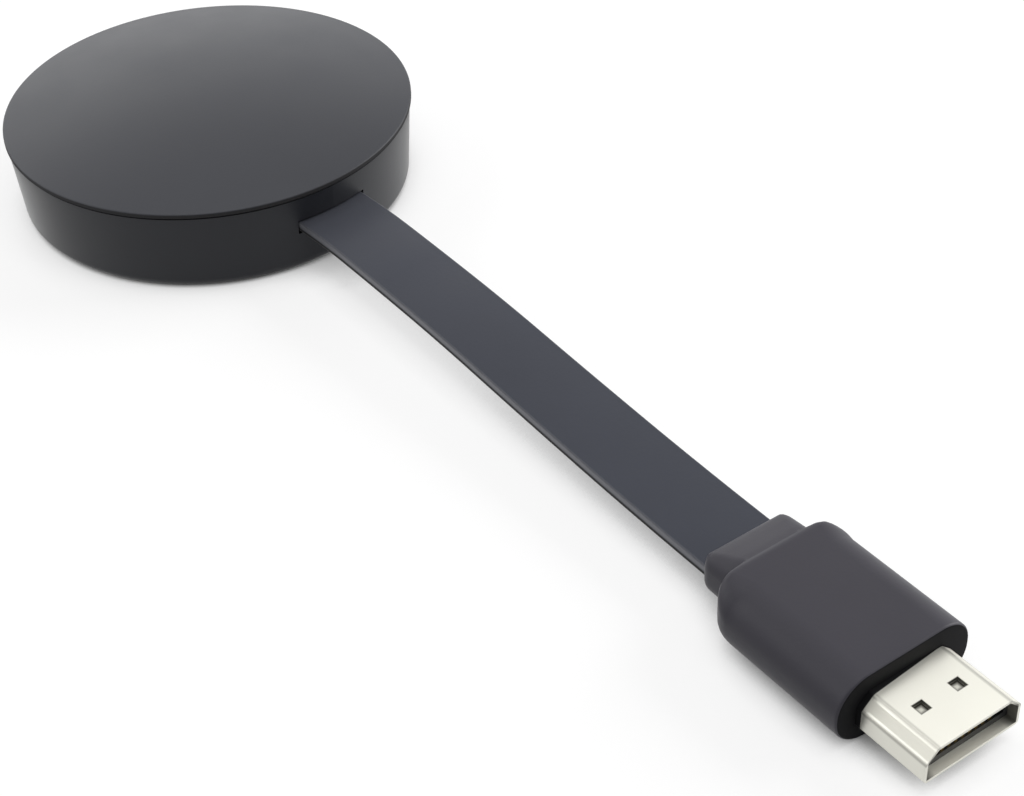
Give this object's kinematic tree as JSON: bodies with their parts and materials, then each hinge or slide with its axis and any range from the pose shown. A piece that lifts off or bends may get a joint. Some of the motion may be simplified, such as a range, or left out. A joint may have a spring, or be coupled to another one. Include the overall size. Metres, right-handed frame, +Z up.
{
  "type": "streaming media stick",
  "caption": "Round domed media receiver on a short flat cable that ends in a moulded HDMI plug, with a micro USB power socket, a reset button and a status light in its wall.",
  "frame": {"origin": "middle of the receiver's flat underside, on the surface that it lies on", "axes": "+Z up, +X from the receiver's middle out through its cable opening, +Y to the left of that"},
  "size_m": [0.1819, 0.06, 0.0169],
  "materials": {
    "housing_plastic": "fine moulded texture, satin",
    "button_plastic": "smooth satin",
    "board_laminate": "green solder mask over glass laminate",
    "chip_epoxy": "matt black epoxy",
    "ferrite": "dark grey ferrite",
    "ceramic": "tan ceramic with tinned ends",
    "tinned_steel": "tin plate, satin",
    "plated_steel": "nickel plate, bright satin",
    "gold_plate": "thin gold plate",
    "carrier_plastic": "black glass-filled nylon",
    "spring_steel": "bright spring steel",
    "screw_steel": "zinc plated",
    "spreader_aluminium": "rolled sheet",
    "pad_silicone": "soft grey-blue silicone",
    "lamp_resin": "milky resin",
    "clear_acrylic": "clear moulded rod, frosted face",
    "clamp_plastic": "black nylon",
    "cable_vinyl": "extruded PVC, satin",
    "lead_insulation": "thin grey insulation",
    "plug_vinyl": "moulded PVC, satin"
  },
  "bodies": {
    "receiver": {"base_shell": "housing_plastic", "top_cover": "housing_plastic", "main_board": "board_laminate", "radio_board": "board_laminate", "processor_chip": "chip_epoxy", "memory_chip": "chip_epoxy", "flash_chip": "chip_epoxy", "radio_chip": "chip_epoxy", "power_regulators": "chip_epoxy", "power_coils": "ferrite", "board_capacitors": "ceramic", "radio_can": "tinned_steel", "antenna": "tinned_steel", "clock_crystal": "tinned_steel", "plug_can_upper": "tinned_steel", "plug_can_lower": "tinned_steel", "usb_socket_shell": "plated_steel", "plug_shell": "plated_steel", "usb_socket_contacts": "gold_plate", "plug_upper_contacts": "gold_plate", "plug_lower_contacts": "gold_plate", "usb_socket_tongue": "carrier_plastic", "plug_contact_carrier": "carrier_plastic", "switch_case": "carrier_plastic", "switch_dome": "spring_steel", "board_screws": "screw_steel", "clamp_screws": "screw_steel", "heat_spreader": "spreader_aluminium", "thermal_pad": "pad_silicone", "status_light": "lamp_resin", "light_pipe": "clear_acrylic", "cable_clamp": "clamp_plastic", "flat_cable": "cable_vinyl", "cable_tail": "cable_vinyl", "plug_cable_tail": "cable_vinyl", "cable_anchor": "cable_vinyl", "cable_leads": "lead_insulation", "plug_leads": "lead_insulation", "plug_moulding": "plug_vinyl"},
    "button": {"reset_button": "button_plastic", "switch_plunger": "carrier_plastic"}
  },
  "joints": [
    {"name": "reset_press", "type": "slide", "parent": "receiver", "child": "button", "axis": [0.9135, 0.4067, 0], "range_m": [0, 0.00025], "stiffness_N_per_m": 600}
  ]
}
